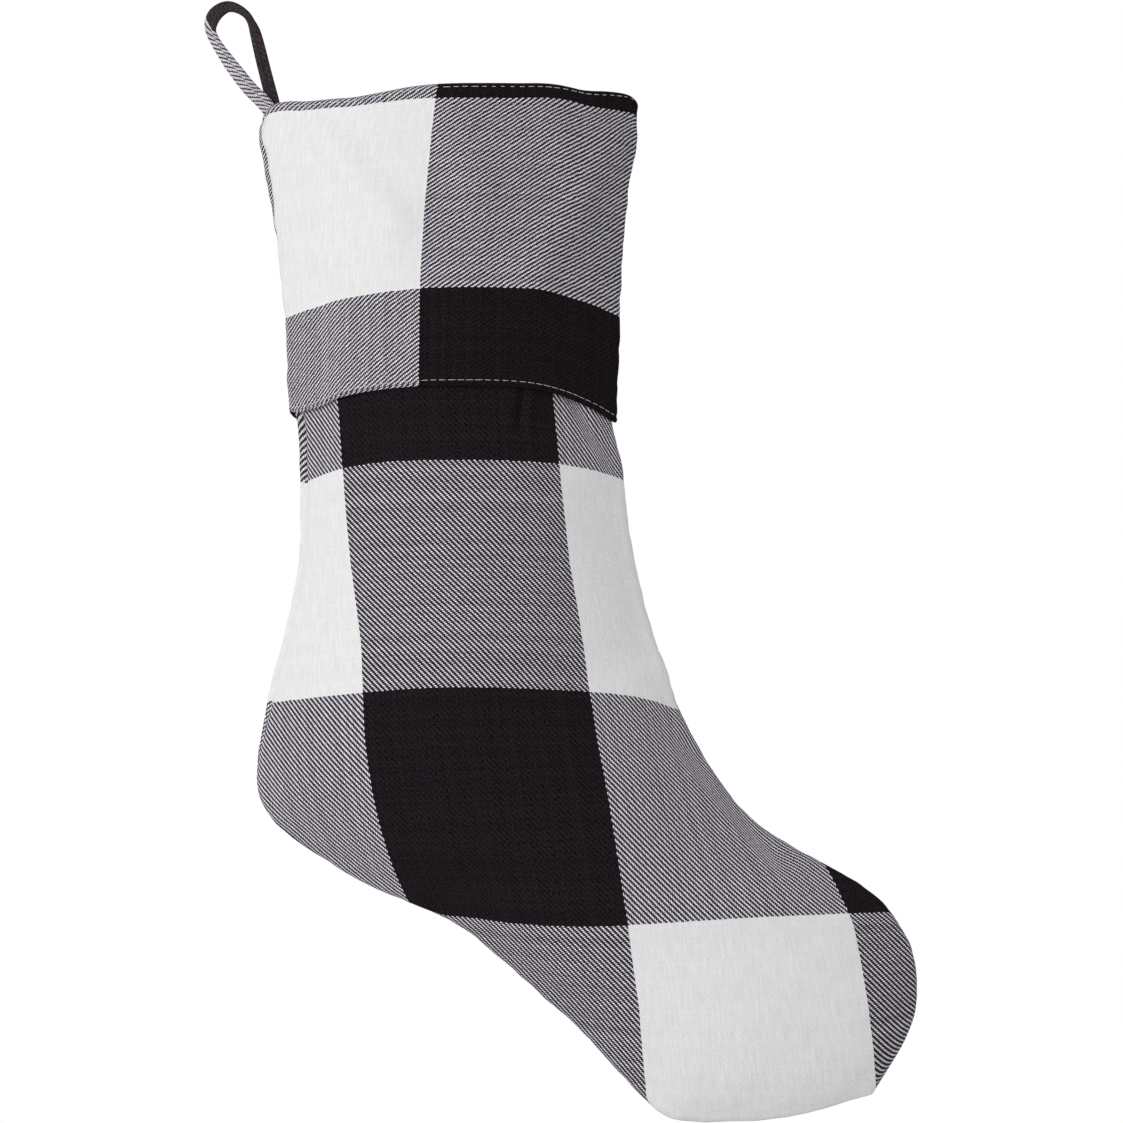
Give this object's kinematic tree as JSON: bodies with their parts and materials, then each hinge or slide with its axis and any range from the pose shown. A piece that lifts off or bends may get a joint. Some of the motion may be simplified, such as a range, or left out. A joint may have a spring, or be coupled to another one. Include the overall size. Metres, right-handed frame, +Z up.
{
  "type": "hanging stocking",
  "caption": "Lined flannel stocking in a large two-tone check, with a wide turned-down cuff, an open mouth and a folded cloth loop at the heel-side corner to hang it by.",
  "frame": {"origin": "middle of the round eye of the hanging loop, where a hook or peg carries the stocking", "axes": "+Z up along the leg, +X towards the toe, +Y towards the wall behind it, so the front faces -Y"},
  "size_m": [0.3289, 0.0822, 0.5206],
  "materials": {
    "check_flannel": "matte",
    "lining_cotton": "matte",
    "white_thread": "matte"
  },
  "bodies": {
    "loop": {"hanging_loop": "check_flannel"},
    "stocking": {"front_panel": "check_flannel", "back_panel": "check_flannel", "lining_front": "lining_cotton", "lining_back": "lining_cotton", "cuff_front": "check_flannel", "cuff_back": "check_flannel", "cuff_facing_front": "check_flannel", "cuff_facing_back": "check_flannel", "rim_topstitch": "white_thread", "cuff_hem_topstitch": "white_thread", "body_seam_stitches": "white_thread", "lining_seam_stitches": "white_thread", "cuff_seam_stitches": "white_thread", "loop_tails": "check_flannel", "loop_tack_stitches": "white_thread"}
  },
  "joints": [
    {"name": "loop_fold", "type": "hinge", "parent": "loop", "child": "stocking", "pos_m": [0.01661, 0, -0.03562], "axis": [1, 0, 0], "range_deg": [-80, 80]}
  ]
}
